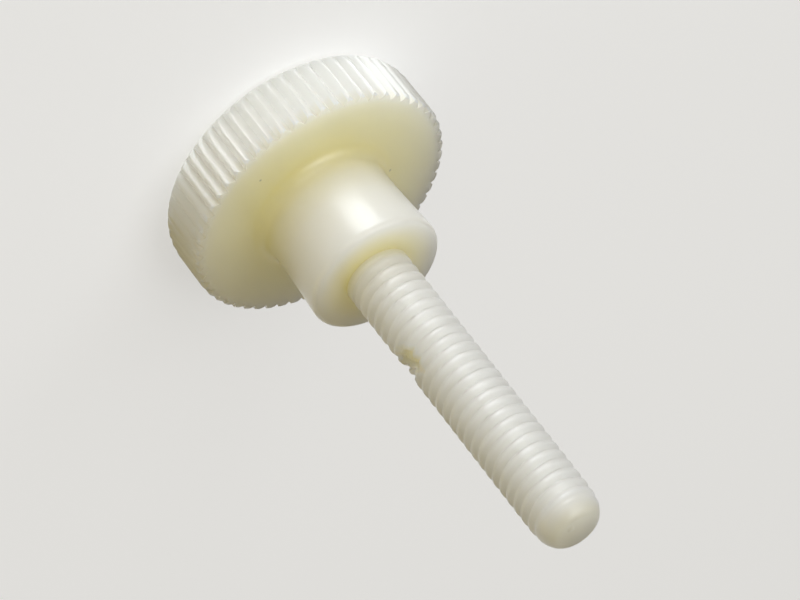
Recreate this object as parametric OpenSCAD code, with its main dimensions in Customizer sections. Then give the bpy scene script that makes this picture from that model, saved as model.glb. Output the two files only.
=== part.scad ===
// Knurled thumb screw, moulded in one piece: a straight-knurled disc head, a collar
// under it, and a fully threaded shank with a rounded point.
// Frame: the screw stands on the flat face of its head. The origin is the centre of
// that face, and +Z runs along the screw's axis to the point.

/* [Head] */
// Diameter over the knurl's tooth tips
head_d = 16; // [12:0.5:24]
// Thickness of the disc
head_t = 3.85; // [2.5:0.05:6]
// Rounding of the edge round the flat face
face_round = 1; // [0.3:0.1:1.4]
// Rounding of the edge round the underside
under_round = 0.35; // [0.2:0.05:1]

/* [Knurl] */
// Number of teeth round the disc
teeth = 58; // [36:2:72]
// Depth of the valleys between the teeth
tooth_depth = 0.46; // [0.1:0.02:0.6]
// Fullness of the teeth, from 1 for straight sides to 2 for rounded lobes
tooth_fullness = 1.4; // [1:0.1:2]
// Direction of one tooth's crest, in degrees from +X
tooth_angle = 3.7; // [0:0.1:10]

/* [Collar] */
// Diameter at the head
collar_root_d = 7.6; // [6:0.1:10]
// Diameter at the free end, where it seats on the work
collar_end_d = 8; // [6:0.05:10]
// Length from the disc's underside to the free end
collar_len = 5.85; // [3:0.05:10]
// Rounding of the free end's edge
collar_round = 0.3; // [0.1:0.05:0.8]
// Radius of the fillet between the disc and the collar
root_fillet = 0.35; // [0.1:0.05:0.8]

/* [Thread] */
// Outside diameter of the thread
thread_d = 3.9; // [3:0.05:5.8]
// Distance from one turn to the next
pitch = 0.7; // [0.6:0.05:1]
// Radial depth of the thread
thread_depth = 0.36; // [0.2:0.02:0.5]
// Length of the shank below the collar
shank_len = 20; // [8:1:40]
// Direction of one point of the thread's crest, in degrees from +X
crest_angle = 252; // [0:1:359]
// Height of that point above the collar's end
crest_height = 1.3; // [0.7:0.01:2]
// Length of the plain neck between the collar and the thread
neck_len = 0.2; // [0.1:0.05:1]
// Length over which the thread then deepens to its full depth
run_in = 0.4; // [0.2:0.1:1]

/* [Point] */
// Length of the rounded point
point_len = 1.4; // [0.8:0.1:2]
// Diameter of the flat on the end
point_flat_d = 2.1; // [1:0.1:2.6]

/* [Nick in the thread] */
// Direction that the nick faces, in degrees from +X
nick_angle = 345; // [0:1:359]
// Height of the nick's middle above the collar's end
nick_height = 5.95; // [2:0.05:16]
// Length of the nick along the shank
nick_len = 0.9; // [0.5:0.1:4]
// Distance from the axis to the nick's flat bottom
nick_reach = 1.6; // [1.4:0.05:1.95]

/* [Hidden] */

nylon = [0.93, 0.91, 0.80];
$fn = 96;
arc_steps = 6;

head_r = head_d / 2;
thread_r = thread_d / 2;
root_r = thread_r - thread_depth;
flat_r = point_flat_d / 2;

collar_z = head_t + collar_len;
end_z = collar_z + shank_len;
point_z = end_z - point_len;

// Corners of one turn: [place along the pitch, share of the thread's depth]
turn = [[-0.11, 0], [0.11, 0], [0.43, 1], [0.57, 1]];
turn_steps = 30;

// The thread is swept along the shank's outside, from a start sunk into the collar to
// near the middle of the flat end.
sink = 1.2;
middle_r = 0.2;
straight_len = point_z - collar_z + sink;
bend_len = PI / 2 * sqrt((pow(point_len, 2) + pow(thread_r - flat_r, 2)) / 2);
sweep_len = straight_len + bend_len + flat_r - middle_r;
last = floor((sweep_len / pitch - turn[3][0]) * turn_steps);
start_angle = crest_angle - 360 * (crest_height + sink) / pitch;

// The fan that closes the flat end has its middle just off the axis, beside the step that
// the last turn ends in.
last_angle = start_angle + 360 * last / turn_steps;
end_middle = 0.1 * [-sin(last_angle), cos(last_angle)];

// The neck stands just proud of the thread, so that whatever passes the thread seats
// flat on the collar.
neck_r = thread_r + 0.02;

// Points of one tooth: [place across the tooth, share of the tooth's depth]
tooth = [for (t = [-0.5, -0.3, 0, 0.3]) [t, pow(abs(2 * t), tooth_fullness)]];

// Points on an arc about c, of radius r, from angle a to angle b
function arc(c, r, a, b) =
    [for (i = [0:arc_steps]) let (t = a + (b - a) * i / arc_steps) c + r * [cos(t), sin(t)]];

function clamp01(x) = max(0, min(1, x));

// Outside of the shank as [radius, height], at a distance s along it: straight, then a
// quarter ellipse round the point, then inwards across the flat end
function outside(s) =
    let (bent = s - straight_len, t = 90 * bent / bend_len)
    bent < 0 ? [thread_r, collar_z - sink + s]
    : bent < bend_len ? [flat_r + (thread_r - flat_r) * cos(t), point_z + point_len * sin(t)]
    : [flat_r - bent + bend_len, end_z];

// Depth of the groove at the outside point p: it grows over the run-in after the neck,
// and runs out where the rounded point comes in to the root
function groove_depth(p) =
    min(
        thread_depth * clamp01((p[1] - collar_z - neck_len / 2) / run_in),
        max(0, p[0] - root_r)
    );

// Radius that the nick leaves at angle a and height z: a flat facet with sloping ends
function nick_r(a, z) =
    let (
        off = abs((a - nick_angle + 540) % 360 - 180),
        past = abs(z - collar_z - nick_height) - nick_len / 2
    )
    off > 60 ? thread_r : (nick_reach + max(0, past)) / cos(off);

// Corner k of the turn, at step j along the helix
function corner(j, k) =
    let (
        a = start_angle + 360 * j / turn_steps,
        p = outside(pitch * (j / turn_steps + turn[k][0])),
        r = min(p[0] - turn[k][1] * groove_depth(p), nick_r(a, p[1]))
    )
    [r * cos(a), r * sin(a), p[1]];

// Half section of the disc, with both of its edges rounded
module disc_section() {
    polygon(concat(
        [[0, 0]],
        arc([head_r - face_round, face_round], face_round, -90, 0),
        arc([head_r - under_round, head_t - under_round], under_round, 0, 90),
        [[0, head_t]]
    ));
}

// Outline of the knurl: full-sided teeth that meet in sharp valleys
module knurl_outline() {
    polygon([
        for (i = [0:teeth - 1])
            for (p = tooth)
                let (a = tooth_angle + 360 * (i + p[0]) / teeth)
                    (head_r - tooth_depth * p[1]) * [cos(a), sin(a)]
    ]);
}

module knurled_disc() {
    intersection() {
        linear_extrude(head_t) knurl_outline();
        rotate_extrude() disc_section();
    }
}

// The collar widens a little to its rounded free end, a fillet blends it into the disc,
// and the shank's plain neck stands on its end
module collar() {
    near_r = collar_root_d / 2;
    end_r = collar_end_d / 2;
    rotate_extrude() polygon(concat(
        [[0, head_t / 2], [near_r + root_fillet, head_t / 2]],
        arc([near_r + root_fillet, head_t + root_fillet], root_fillet, -90, -180),
        arc([end_r - collar_round, collar_z - collar_round], collar_round, 0, 90),
        [[neck_r, collar_z], [neck_r, collar_z + neck_len], [0, collar_z + neck_len]]
    ));
}

// The thread and its core as one closed surface. Each turn's last groove meets the next
// turn's first crest, and a fan closes each end.
module threaded_shank() {
    n = len(turn);
    function at(j, k) = j * n + k;
    corners = [for (j = [0:last]) for (k = [0:n - 1]) corner(j, k)];
    low_centre = len(corners);
    high_centre = low_centre + 1;
    strips = [
        for (j = [0:last - 1]) for (k = [0:n - 2])
            [at(j, k), at(j, k + 1), at(j + 1, k + 1), at(j + 1, k)]
    ];
    joins = [
        for (j = [0:last - 1 - turn_steps])
            [at(j, n - 1), at(j + turn_steps, 0), at(j + turn_steps + 1, 0), at(j + 1, n - 1)]
    ];
    low_rim = concat(
        [for (j = [0:turn_steps]) at(j, 0)],
        [for (k = [n - 1:-1:0]) at(0, k)]
    );
    high_rim = concat(
        [for (j = [last - turn_steps:last]) at(j, n - 1)],
        [for (k = [n - 2:-1:0]) at(last, k)],
        [at(last - turn_steps, n - 1)]
    );
    low_fan = [for (i = [0:len(low_rim) - 2]) [low_centre, low_rim[i], low_rim[i + 1]]];
    high_fan = [for (i = [0:len(high_rim) - 2]) [high_centre, high_rim[i + 1], high_rim[i]]];
    polyhedron(
        concat(corners, [[0, 0, collar_z - sink], [end_middle[0], end_middle[1], end_z]]),
        concat(strips, joins, low_fan, high_fan)
    );
}

module thumb_screw() {
    color(nylon) union() {
        knurled_disc();
        collar();
        threaded_shank();
    }
}

thumb_screw();
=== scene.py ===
import bpy
import numpy as np
from mathutils import Matrix, Vector


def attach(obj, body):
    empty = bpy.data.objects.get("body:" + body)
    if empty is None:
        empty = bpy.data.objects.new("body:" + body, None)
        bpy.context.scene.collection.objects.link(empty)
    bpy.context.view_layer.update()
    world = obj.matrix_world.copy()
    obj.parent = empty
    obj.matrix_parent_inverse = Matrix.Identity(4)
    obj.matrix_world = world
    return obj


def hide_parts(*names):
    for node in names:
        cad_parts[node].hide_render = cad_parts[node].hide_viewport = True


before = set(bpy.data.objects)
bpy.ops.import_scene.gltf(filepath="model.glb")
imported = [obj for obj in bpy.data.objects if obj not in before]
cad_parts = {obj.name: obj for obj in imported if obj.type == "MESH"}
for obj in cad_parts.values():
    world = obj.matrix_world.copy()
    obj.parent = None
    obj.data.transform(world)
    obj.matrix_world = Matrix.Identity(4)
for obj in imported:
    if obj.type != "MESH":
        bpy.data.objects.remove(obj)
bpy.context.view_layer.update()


# Thumb screw.
# One shot of natural, unpigmented nylon: a disc head with straight knurling round its rim, a
# collar under it that seats on the work, and a shank with a 0.7 mm thread up to a rounded
# point. Light soaks into the milky ivory and glows through, under a polished mould's half gloss.

# Sizes in millimetres: disc, knurl, collar, thread, point and the bump where it was fed
MM = 0.001
DISC_R, DISC_T, FACE_ROUND, UNDER_ROUND = 8.0, 3.85, 1.0, 0.35
TEETH, TOOTH_COLUMNS, TOOTH_ANGLE = 58, 12, 3.7
CREST_SLOPE, CREST_RADIUS, TOOTH_UNEVEN = 1.28, 0.08, 0.03
COLLAR_ROOT_R, COLLAR_END_R, ROOT_FILLET, COLLAR_FLARE = 3.8, 4.0, 0.8, 1.6
COLLAR_ROUND, COLLAR_END_LEN, COLLAR_WAVE = 0.3, 0.38, 0.006
SEAT_Z, SHANK_R, PITCH, THREAD_DEPTH = 9.7, 1.95, 0.7, 0.28
CREST_ANGLE, CREST_HEIGHT, CREST_FLAT = 252, 1.3, 0.1
NECK_LEN, RUN_IN, RUN_OUT, THREAD_END_Z = 0.25, 0.5, 1.2, 28.9
POINT_Z, END_Z, POINT_FLAT_R = 27.4, 29.66, 1.05
FEED_X, FEED_Y, FEED_R, FEED_RISE = 0.225, -0.6, 0.22, 0.04

# Nick: profile of its side cut as heights above the seat and distances from the axis, and
# the chip's outline as distances round the shank and heights, from its middle's direction
NICK_ANGLE, CHIP_REACH, CHIP_WALL, SIDE_SLANT, NICK_SPAN = 322, 1.45, 3, 0.625, 50
SIDE_ALONG = [3.76, 3.86, 4.05, 4.25, 4.5, 4.87, 5.02, 5.1, 5.28, 5.45, 5.6, 5.78,
              5.86, 5.93, 5.97, 6.05, 6.27, 6.38, 6.47, 6.57, 6.66, 6.9, 7.1]
SIDE_REACH = [1.96, 1.87, 1.90, 1.96, 1.96, 1.81, 1.91, 1.94, 1.93, 1.85, 1.77, 1.63,
              1.60, 1.63, 1.79, 1.845, 1.825, 1.73, 1.70, 1.73, 1.87, 1.91, 1.96]
CHIP = [
    (-0.10, 5.30), (-0.30, 5.52), (-0.47, 5.78), (-0.62, 5.98), (-0.66, 6.20),
    (-0.46, 6.36), (-0.56, 6.62), (-0.58, 6.88), (-0.38, 7.06), (-0.22, 7.22),
    (-0.10, 7.00), (0.16, 6.86), (0.20, 6.52), (0.42, 6.30), (0.64, 6.00),
    (0.78, 5.66), (0.80, 5.36), (0.56, 5.10), (0.30, 5.22), (0.10, 5.20),
]
NO_CUT = 9                      # a radius beyond every surface

# Directions of the rings' points. The disc and collar have SHARE columns to one of the
# shank's, which crowd towards the nick.
SHARE, CROWDING = 6, 0.45
columns = TEETH * TOOTH_COLUMNS
column_angle = np.radians(TOOTH_ANGLE) + 2 * np.pi * np.arange(columns) / columns
shank_angle = column_angle[::SHARE]
shank_angle = shank_angle - CROWDING * np.sin(shank_angle - np.radians(NICK_ANGLE))
rng = np.random.default_rng(58)


def ring_noise(angle, size, waves, seed):
    """A closed random wave round the axis: a few sines of whole numbers of turns, each
    with its own phase, scaled so the sum stays within about the size."""
    r = np.random.default_rng(seed)
    phases, weights = r.uniform(0, 2 * np.pi, len(waves)), r.uniform(0.5, 1, len(waves))
    total = sum(w * np.sin(n * angle + p) for n, w, p in zip(waves, weights, phases))
    return size * total / weights.sum()


def disc_rows():
    """Rings of the disc as radius and height: out across the flat face, round its edge,
    up the teeth, and in over the rounded underside. A tooth falls away from its crest as a
    hyperbola, and every ring is the tooth's radius or the rounded edge's, if smaller."""
    across = (np.arange(columns) + TOOTH_COLUMNS // 2) % TOOTH_COLUMNS - TOOTH_COLUMNS // 2
    arc_mm = across / TOOTH_COLUMNS * 2 * np.pi * DISC_R / TEETH
    fall = CREST_SLOPE * (np.hypot(arc_mm, CREST_RADIUS) - CREST_RADIUS)
    number = (np.arange(columns) + TOOTH_COLUMNS // 2) // TOOTH_COLUMNS % TEETH
    uneven = rng.uniform(0, TOOTH_UNEVEN, TEETH)[number] * (1 - fall / fall.max())
    tooth = DISC_R - fall - uneven
    rows = [(np.full(columns, r), np.zeros(columns)) for r in (1.6, 3.2, 4.8, 6.2, 7.0)]
    low = np.arccos(np.clip((tooth - DISC_R + FACE_ROUND) / FACE_ROUND, -1, 1))
    for share in np.linspace(0, 1, 9)[1:]:
        t = -np.pi / 2 + (np.pi / 2 - low) * share
        rows.append((DISC_R - FACE_ROUND + FACE_ROUND * np.cos(t), FACE_ROUND * (1 + np.sin(t))))
    high = np.arccos(np.clip((tooth - DISC_R + UNDER_ROUND) / UNDER_ROUND, -1, 1))
    high = np.minimum(high, np.pi / 2)
    foot, top = rows[-1][1], DISC_T - UNDER_ROUND * (1 - np.sin(high))
    for share in (0.25, 0.5, 0.75, 1):
        rows.append((tooth, foot + (top - foot) * share))
    lip = np.minimum(tooth, DISC_R - UNDER_ROUND + UNDER_ROUND * np.cos(high))
    for share in (0.25, 0.5, 0.75, 1):
        t = high + (np.pi / 2 - high) * share
        r = DISC_R - UNDER_ROUND + UNDER_ROUND * np.cos(t)
        edge = np.minimum(lip, r) - 0.004 * share
        rows.append((edge, DISC_T - UNDER_ROUND * (1 - np.sin(t))))
    return rows


def collar_rows():
    """Rings in across the underside, round the fillet, up the collar, which flares as a
    power of the height, and round its end: lines and arcs of a circle and an ellipse, swept
    round the axis, with a faint wave on the collar's side."""
    near, far, flat = COLLAR_ROOT_R, COLLAR_END_R, np.ones(columns)
    rows = [(flat * r, flat * DISC_T) for r in (7.3, 6.8, 6.0, 5.2, near + ROOT_FILLET)]
    for t in np.radians(np.linspace(270, 180, 10))[1:]:
        rows.append((
            flat * (near + ROOT_FILLET * (1 + np.cos(t))),
            flat * (DISC_T + ROOT_FILLET * (1 + np.sin(t))),
        ))
    low, high = DISC_T + ROOT_FILLET, SEAT_Z - COLLAR_END_LEN
    for share in np.linspace(0, 1, 10)[1:]:
        wave = ring_noise(column_angle, COLLAR_WAVE, (2, 3, 5, 7, 11), int(share * 4))
        wave = wave * min(1, 4 * share, 4 * (1 - share))
        r = near + (far - near) * share ** COLLAR_FLARE
        rows.append((flat * r + wave, flat * (low + (high - low) * share)))
    for t in np.radians(np.linspace(0, 90, 9))[1:]:
        rows.append((
            flat * (far - COLLAR_ROUND + COLLAR_ROUND * np.cos(t)),
            flat * (high + COLLAR_END_LEN * np.sin(t)),
        ))
    return rows + [(flat * r, flat * SEAT_Z) for r in (3.4, 2.9, 2.4)]


def inside(x, y, corners):
    """Distance inside a closed outline of straight edges, negative outside it: the least
    distance to an edge, with its sign from the number of edges a line to the side crosses."""
    nearest, crossed = np.full(x.shape, np.inf), np.zeros(x.shape, int)
    for (ax, ay), (bx, by) in zip(corners, corners[1:] + corners[:1]):
        t = ((x - ax) * (bx - ax) + (y - ay) * (by - ay)) / ((bx - ax) ** 2 + (by - ay) ** 2)
        t = np.clip(t, 0, 1)
        nearest = np.minimum(nearest, np.hypot(x - ax - t * (bx - ax), y - ay - t * (by - ay)))
        if ay != by:
            crossed += ((ay > y) != (by > y)) & (x < ax + (y - ay) * (bx - ax) / (by - ay))
    return np.where(crossed % 2 == 1, nearest, -nearest)


def chip_depth(angle, up):
    """Distance inside the chip's torn outline, on the shank's surface unrolled."""
    return inside((np.degrees(angle) % 360 - NICK_ANGLE) * np.pi / 180 * SHANK_R, up, CHIP)


def nick_radius(angle, height):
    """Radius left by the nick. Two flat cuts, whose radius grows as one over the cosine away
    from their middles: one at the side, grooved aslant by a torn profile, and one in front
    of it, the floor of a chip with steep walls inside a torn outline."""
    turn, up = np.degrees(angle) % 360, height - SEAT_Z
    off = np.clip((turn + 180) % 360 - 180, -NICK_SPAN, NICK_SPAN)
    slant = up + SIDE_SLANT * SHANK_R * np.radians(off)
    side = np.interp(slant, SIDE_ALONG, SIDE_REACH) / np.cos(np.radians(off))
    side = np.where(np.abs(off) < NICK_SPAN, side, NO_CUT)
    depth = chip_depth(angle, up)
    floor = CHIP_REACH / np.cos(np.radians(np.clip(turn - NICK_ANGLE, -NICK_SPAN, NICK_SPAN)))
    floor = floor + 0.03 * np.sin(9 * up + 0.1 * turn) * np.sin(23 * up - 0.3 * turn)
    chip = np.where(depth > 0, np.maximum(floor, SHANK_R - CHIP_WALL * depth), NO_CUT)
    return np.minimum(side, chip)


def shank_rows():
    """Rings of the shank. The thread's depth is a cosine of the place along the pitch,
    flattened to a broad crest. It grows after the neck and fades before the end. The point
    draws in as the square root of one minus the cube of the height, and a low round bump
    where the plastic was fed in stands on its flat."""
    height = np.r_[np.arange(SEAT_Z, POINT_Z, PITCH / 18),
                   POINT_Z + (END_Z - POINT_Z) * np.sin(np.radians(np.linspace(0, 90, 40)))]
    drawn = np.clip((height - POINT_Z) / (END_Z - POINT_Z), 0, 1)
    outer = POINT_FLAT_R + (SHANK_R - POINT_FLAT_R) * np.sqrt(1 - drawn ** 3)
    a, z = np.meshgrid(shank_angle, height)
    outer = np.repeat(outer[:, None], len(shank_angle), 1)
    turns = (z - SEAT_Z - CREST_HEIGHT) / PITCH - (np.degrees(a) - CREST_ANGLE) / 360
    from_crest = np.abs(turns - np.round(turns))
    share = 0.5 - 0.5 * np.cos(np.pi * np.clip((from_crest - CREST_FLAT) / (0.5 - CREST_FLAT), 0, 1))
    grown = np.clip((z - SEAT_Z - NECK_LEN) / RUN_IN, 0, 1)
    grown = grown * np.clip((THREAD_END_Z - z) / RUN_OUT, 0, 1)
    r = np.minimum(outer - THREAD_DEPTH * share * grown, nick_radius(a, z))
    rows = list(zip(r, z))
    for q in np.linspace(POINT_FLAT_R, 0, 14)[1:-1]:
        away = np.hypot(q * np.cos(shank_angle) - FEED_X, q * np.sin(shank_angle) - FEED_Y)
        rise = FEED_RISE * np.clip(1 - (away / FEED_R) ** 2, 0, 1)
        rows.append((np.full(len(shank_angle), q), END_Z + rise))
    return rows


def strips(first, count, around):
    """Quads between neighbouring rings of a grid, each ring closed on itself."""
    i, j = np.meshgrid(np.arange(count - 1), np.arange(around), indexing="ij")
    near, far = first + i * around, first + (i + 1) * around
    ahead = (j + 1) % around
    return np.stack([near + j, near + ahead, far + ahead, far + j], -1).reshape(-1, 4).tolist()


def ring_points(rows, angle):
    """Points of the rings: radius and height turned round the axis by the angles."""
    r, z = np.array([q[0] for q in rows]), np.array([q[1] for q in rows])
    return np.stack([r * np.cos(angle), r * np.sin(angle), z], -1).reshape(-1, 3)


def thickness_and_shade_share(point):
    """A share of the deep colour: partly how deep the nylon is behind a point, from 0 on the
    thread to 1 in the middle of the face, partly painted shade, highest in the corners at the
    roots of the collar and shank, on the point's end and in the nick. Straight lines between
    values along each part of the form."""
    r, z = np.hypot(point[:, 0], point[:, 1]), point[:, 2]
    # Painted shade: these shares are highest in the corners at the collar's root and round the
    # shank's root, and fall away from them
    under = np.interp(r, [4.0, 6.2, 7.2, 7.9], [0.9, 0.82, 0.76, 0.4])
    collar = np.interp(z, [3.9, 5.2, 6.8, 9.2, 9.7], [0.9, 0.5, 0.26, 0.2, 0.25])
    seat = np.interp(r, [2.0, 2.8, 3.8], [0.95, 0.75, 0.28])
    # Painted shade: the share rises again to 0.6 on the point's end
    shank = np.interp(z, [9.7, 10.3, 12.0, 28.4, 29.5], [0.7, 0.25, 0.0, 0.0, 0.6])
    # Painted shade: the share rises inside the chip's outline, a deeper yellow in the nick's hollow
    torn = chip_depth(np.arctan2(point[:, 1], point[:, 0]), z - SEAT_Z)
    shank = np.maximum(shank, np.interp(torn, [-0.25, 0.2], [0, 0.8]))
    face = np.interp(r, [0, 6.5, 7.8], [1.0, 0.7, 0.1])
    rim = np.where(z < FACE_ROUND, face, 0.1)
    share = np.where(z > SEAT_Z + 0.01, shank, np.where(z > SEAT_Z - 0.01, seat, collar))
    share = np.where((z < DISC_T + 0.02) & (r > 4.0), np.where(z > DISC_T - 0.05, under, rim), share)
    return np.where(z < FACE_ROUND, face, share)


def build_screw():
    """The whole screw as one closed mesh: two grids, joined on the flat seat by faces that
    span six columns of the collar and one of the shank, with a fan at each end. The
    share of the deep colour, thickness with painted shade, goes with it for the nylon."""
    head, shank = disc_rows() + collar_rows(), shank_rows()
    slim = columns // SHARE
    head_points, shank_points = ring_points(head, column_angle), ring_points(shank, shank_angle)
    start, last = len(head_points), len(head_points) - columns
    points = np.r_[head_points, shank_points, [[0, 0, 0], [0, 0, END_Z]]]
    faces = strips(0, len(head), columns) + strips(start, len(shank), slim)
    j = np.arange(slim)[:, None]
    outer = last + (j * SHARE + np.arange(SHARE + 1)) % columns
    faces += np.hstack([outer, start + (j + 1) % slim, start + j]).tolist()
    low, high = len(points) - 2, len(points) - 1
    j = np.arange(columns)
    faces += np.stack([np.full(columns, low), (j + 1) % columns, j], -1).tolist()
    j, top = np.arange(slim), low - slim
    faces += np.stack([np.full(slim, high), top + j, top + (j + 1) % slim], -1).tolist()
    mesh = bpy.data.meshes.new("thumb_screw_visual")
    mesh.from_pydata((points * MM).tolist(), [], faces)
    mesh.update()
    mesh.shade_smooth()
    mesh.set_sharp_from_angle(angle=np.radians(42))
    # The share of the deep colour goes with the mesh: thickness and painted shade
    thickness_and_shade = mesh.attributes.new("thickness_and_shade", "FLOAT", "POINT")
    thickness_and_shade.data.foreach_set("value", thickness_and_shade_share(points))
    return mesh


# Colours of the nylon where it is thin and where it is thick, a pale and a deep one of each;
# the deep ones are also painted shade in the corners at the roots of the collar and shank,
# on the point's end and in the nick. Then the specks of dirt in it as places and radii in
# millimetres
THIN = (0.935, 0.955, 0.955, 1), (0.925, 0.945, 0.93, 1)
THICK_AND_SHADE = (0.925, 0.79, 0.41, 1), (0.915, 0.775, 0.36, 1)
STAIN = (0.60, 0.54, 0.34, 1)
SPECKS = [((1.82, -5.61, 3.85), 0.06), ((-4.13, 1.5, 3.85), 0.07)]

# Sockets of a Mix node that mixes colours
FACTOR, COLOUR_A, COLOUR_B, MIXED = 0, 6, 7, 2


def new_material(name):
    """An empty node material with an output, and a way to add and link its nodes."""
    material = bpy.data.materials.new(name)
    material.use_nodes = True
    nodes, links = material.node_tree.nodes, material.node_tree.links
    nodes.clear()
    return material, nodes, links, nodes.new("ShaderNodeOutputMaterial")


def new_group(name, inputs, outputs):
    """An empty node group with the named inputs and outputs, each with its socket's kind."""
    group = bpy.data.node_groups.new(name, "ShaderNodeTree")
    for way, sockets in (("INPUT", inputs), ("OUTPUT", outputs)):
        for socket, kind in sockets.items():
            group.interface.new_socket(socket, in_out=way, socket_type="NodeSocket" + kind)
    nodes = group.nodes
    return group, nodes, group.links, nodes.new("NodeGroupInput"), nodes.new("NodeGroupOutput")


def mottle_group():
    """Soft clouds and fine grain of moulded nylon: one noise a few millimetres across tints
    the colour, and a fine one roughens the gloss."""
    group, nodes, links, given, out = new_group(
        "nylon_mottle",
        {"Vector": "Vector", "Pale": "Color", "Deep": "Color", "Cloud Scale": "Float",
         "Grain Scale": "Float"},
        {"Color": "Color", "Roughness": "Float"},
    )
    cloud, grain = nodes.new("ShaderNodeTexNoise"), nodes.new("ShaderNodeTexNoise")
    for noise, detail, scale in ((cloud, 2, "Cloud Scale"), (grain, 3, "Grain Scale")):
        noise.inputs["Detail"].default_value = detail
        links.new(given.outputs["Vector"], noise.inputs["Vector"])
        links.new(given.outputs[scale], noise.inputs["Scale"])
    tint = nodes.new("ShaderNodeMix")
    tint.data_type = "RGBA"
    links.new(cloud.outputs["Fac"], tint.inputs[FACTOR])
    links.new(given.outputs["Pale"], tint.inputs[COLOUR_A])
    links.new(given.outputs["Deep"], tint.inputs[COLOUR_B])
    links.new(tint.outputs[MIXED], out.inputs["Color"])
    gloss = nodes.new("ShaderNodeMapRange")
    for socket, value in (
        ("From Min", 0.3), ("From Max", 0.7), ("To Min", 0.285), ("To Max", 0.33),
    ):
        gloss.inputs[socket].default_value = value
    links.new(grain.outputs["Fac"], gloss.inputs["Value"])
    links.new(gloss.outputs["Result"], out.inputs["Roughness"])
    return group


def speck_group():
    """A speck of dirt in the nylon: one inside the given radius of a place, fading to
    nothing over half as much again."""
    group, nodes, links, given, out = new_group(
        "speck", {"Vector": "Vector", "Place": "Vector", "Radius": "Float"}, {"Mask": "Float"},
    )
    away, edge, fade = (nodes.new(n) for n in (
        "ShaderNodeVectorMath", "ShaderNodeMath", "ShaderNodeMapRange",
    ))
    away.operation, edge.operation = "DISTANCE", "MULTIPLY"
    edge.inputs[1].default_value = 1.5
    fade.inputs["To Min"].default_value, fade.inputs["To Max"].default_value = 1, 0
    links.new(given.outputs["Vector"], away.inputs[0])
    links.new(given.outputs["Place"], away.inputs[1])
    links.new(given.outputs["Radius"], edge.inputs[0])
    links.new(given.outputs["Radius"], fade.inputs["From Min"])
    links.new(edge.outputs[0], fade.inputs["From Max"])
    links.new(away.outputs["Value"], fade.inputs["Value"])
    links.new(fade.outputs["Result"], out.inputs["Mask"])
    return group


def nylon_material():
    """Natural nylon. Light walks up to about a centimetre through it, so it softens the
    shade of fine relief, under a half gloss that follows the relief. Thick places are a
    deeper yellow than thin ones, and the same deep yellow is painted shade in the corners at
    the roots of the collar and shank, on the point's end and in the nick."""
    material, nodes, links, output = new_material("natural_nylon")
    shader = nodes.new("ShaderNodeBsdfPrincipled")
    shader.inputs["Subsurface Weight"].default_value = 1.0
    shader.inputs["Subsurface Radius"].default_value = (1.0, 1.0, 1.0)
    shader.inputs["Subsurface Scale"].default_value = 12 * MM
    shader.inputs["Subsurface Anisotropy"].default_value = 0
    shader.inputs["IOR"].default_value = 1.53
    shader.inputs["Coat Weight"].default_value = 0.6
    shader.inputs["Coat Roughness"].default_value = 0.28
    where, thick_and_shade = nodes.new("ShaderNodeTexCoord"), nodes.new("ShaderNodeAttribute")
    thick_and_shade.attribute_name = "thickness_and_shade"
    thin_part, thick_and_shade_part, tone = (nodes.new(n) for n in (
        "ShaderNodeGroup", "ShaderNodeGroup", "ShaderNodeMix",
    ))
    tone.data_type = "RGBA"
    thin_part.node_tree = thick_and_shade_part.node_tree = mottle_group()
    for part, (pale, deep) in ((thin_part, THIN), (thick_and_shade_part, THICK_AND_SHADE)):
        part.inputs["Pale"].default_value, part.inputs["Deep"].default_value = pale, deep
        part.inputs["Cloud Scale"].default_value = 400
        part.inputs["Grain Scale"].default_value = 3500
        links.new(where.outputs["Object"], part.inputs["Vector"])
    # Painted shade: the deep colour also lies in the corners, on the point's end and in the nick
    links.new(thick_and_shade.outputs["Fac"], tone.inputs[FACTOR])
    links.new(thin_part.outputs["Color"], tone.inputs[COLOUR_A])
    links.new(thick_and_shade_part.outputs["Color"], tone.inputs[COLOUR_B])
    colour = tone.outputs[MIXED]
    speck = speck_group()
    for place, radius in SPECKS:
        spot, stain = nodes.new("ShaderNodeGroup"), nodes.new("ShaderNodeMix")
        stain.data_type = "RGBA"
        spot.node_tree = speck
        spot.inputs["Place"].default_value = [q * MM for q in place]
        spot.inputs["Radius"].default_value = radius * MM
        stain.inputs[COLOUR_B].default_value = STAIN
        links.new(where.outputs["Object"], spot.inputs["Vector"])
        links.new(spot.outputs["Mask"], stain.inputs[FACTOR])
        links.new(colour, stain.inputs[COLOUR_A])
        colour = stain.outputs[MIXED]
    links.new(colour, shader.inputs["Base Color"])
    links.new(thin_part.outputs["Roughness"], shader.inputs["Roughness"])
    links.new(shader.outputs["BSDF"], output.inputs["Surface"])
    return material


scene = bpy.context.scene
screw = bpy.data.objects.new("nylon_thumb_screw", build_screw())
scene.collection.objects.link(screw)
screw.data.materials.append(nylon_material())
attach(screw, "root")
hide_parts("thumb_screw")


# Floor.
# A plain matt white sheet, lit through from below like the top of a light table, which takes
# a soft shadow.

FLOOR_HALF = 1.5                # metres


def looked_at(nodes, links):
    """The Light Path node, and a mask of one where the camera, a mirror or glass looks: the
    largest of its camera, glossy and transmission rays."""
    path = nodes.new("ShaderNodeLightPath")
    mask = path.outputs["Is Camera Ray"]
    for ray in ("Is Glossy Ray", "Is Transmission Ray"):
        either = nodes.new("ShaderNodeMath")
        either.operation = "MAXIMUM"
        links.new(mask, either.inputs[0])
        links.new(path.outputs[ray], either.inputs[1])
        mask = either.outputs[0]
    return path, mask


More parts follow.
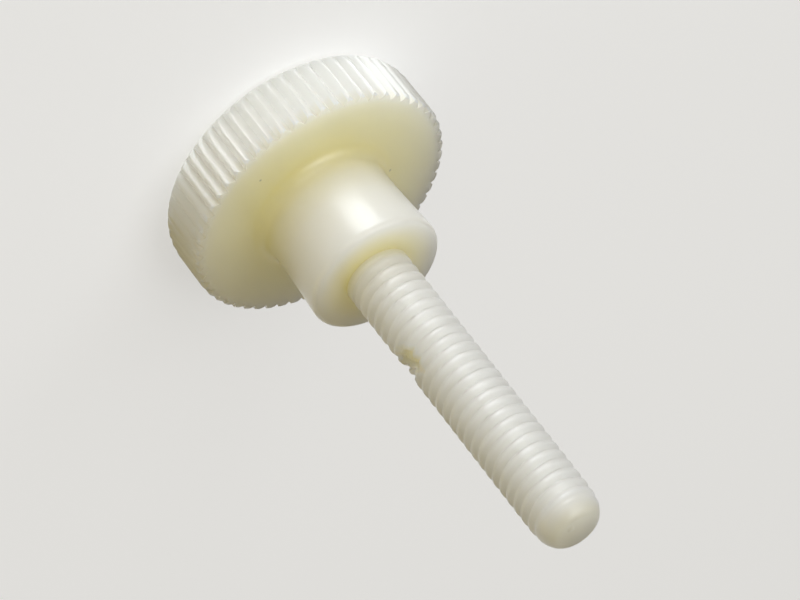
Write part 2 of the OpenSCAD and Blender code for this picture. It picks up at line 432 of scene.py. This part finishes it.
def floor_material():
    """Matt white that stays just off white where the camera and mirrors look at it, and lets
    the light of the softbox under it through."""
    material, nodes, links, output = new_material("floor_white")
    diffuse, glow, through, both, pane, strength = (nodes.new(n) for n in (
        "ShaderNodeBsdfDiffuse", "ShaderNodeEmission", "ShaderNodeBsdfTransparent",
        "ShaderNodeAddShader", "ShaderNodeMixShader", "ShaderNodeMath",
    ))
    diffuse.inputs["Color"].default_value = (0.45, 0.45, 0.45, 1)
    strength.operation, strength.inputs[1].default_value = "MULTIPLY", 0.56
    path, mask = looked_at(nodes, links)
    links.new(mask, strength.inputs[0])
    links.new(strength.outputs[0], glow.inputs["Strength"])
    links.new(diffuse.outputs[0], both.inputs[0])
    links.new(glow.outputs[0], both.inputs[1])
    links.new(path.outputs["Is Shadow Ray"], pane.inputs[0])
    links.new(both.outputs[0], pane.inputs[1])
    links.new(through.outputs[0], pane.inputs[2])
    links.new(pane.outputs[0], output.inputs["Surface"])
    return material


floor_mesh = bpy.data.meshes.new("floor")
sides = ((-1, -1), (1, -1), (1, 1), (-1, 1))
floor_mesh.from_pydata([(FLOOR_HALF * x, FLOOR_HALF * y, 0) for x, y in sides], [], [(0, 1, 2, 3)])
floor = bpy.data.objects.new("floor", floor_mesh)
floor_mesh.materials.append(floor_material())
scene.collection.objects.link(floor)


# Light.
# A light table: a softbox under the floor, which lets its light through, with one in front,
# one above at the side, and two weak warm ones at the far side of a warm room.

AIM = Vector((0, 0, 0.010))     # metres


def softbox(name, azimuth, elevation, distance, size, watts, colour):
    """A square lamp at an azimuth and elevation round the screw's middle, facing it."""
    a, e = np.radians(azimuth), np.radians(elevation)
    way = Vector((np.cos(e) * np.cos(a), np.cos(e) * np.sin(a), np.sin(e)))
    lamp = bpy.data.lights.new(name, "AREA")
    lamp.shape, lamp.size, lamp.energy, lamp.color = "SQUARE", size, watts, colour
    lamp.cycles.use_multiple_importance_sampling = False
    box = bpy.data.objects.new(name, lamp)
    box.location = AIM + way * distance
    box.rotation_euler = way.to_track_quat("Z", "Y").to_euler()
    scene.collection.objects.link(box)


softbox("under_softbox", 232, -28, 0.30, 0.20, 0.58, (0.92, 0.965, 1))
softbox("front_softbox", 253, 5, 0.40, 0.36, 0.45, (1, 0.985, 0.94))
softbox("fill_softbox", 320, -5, 0.40, 0.30, 0.07, (1, 0.76, 0.20))
softbox("left_softbox", 355, -5, 0.40, 0.30, 0.16, (1, 0.78, 0.10))
softbox("side_softbox", 216, 54, 0.40, 0.30, 0.70, (0.96, 0.98, 1))
world = bpy.data.worlds.new("room")
world.use_nodes = True
nodes, links = world.node_tree.nodes, world.node_tree.links
room, beyond = nodes["Background"], nodes.new("ShaderNodeBackground")
room.inputs["Color"].default_value, room.inputs["Strength"].default_value = (1, 0.80, 0.32, 1), 0.12
beyond.inputs["Color"].default_value = (0.60, 0.588, 0.57, 1)
seen = nodes.new("ShaderNodeMixShader")
links.new(looked_at(nodes, links)[1], seen.inputs[0])
links.new(room.outputs[0], seen.inputs[1])
links.new(beyond.outputs[0], seen.inputs[2])
links.new(seen.outputs[0], nodes["World Output"].inputs["Surface"])
scene.world = world


# Camera.
# A long lens that looks down on the screw, turned so that the head is at the upper left.

camera = bpy.data.objects.new("camera", bpy.data.cameras.new("camera"))
camera.data.lens, camera.data.sensor_width = 202.5, 36
camera.data.clip_start, camera.data.clip_end = 0.01, 10
right, up = Vector((-0.787266, 0.322350, 0.525645)), Vector((-0.616613, -0.411563, -0.671122))
place = Vector((-0.134572, -207.925295, 139.344004)) * MM
turn = Matrix((right, up, right.cross(up))).transposed()
camera.matrix_world = Matrix.Translation(place) @ turn.to_4x4()
scene.collection.objects.link(camera)
scene.camera = camera
scene.view_settings.view_transform = "Standard"

bpy.context.view_layer.update()
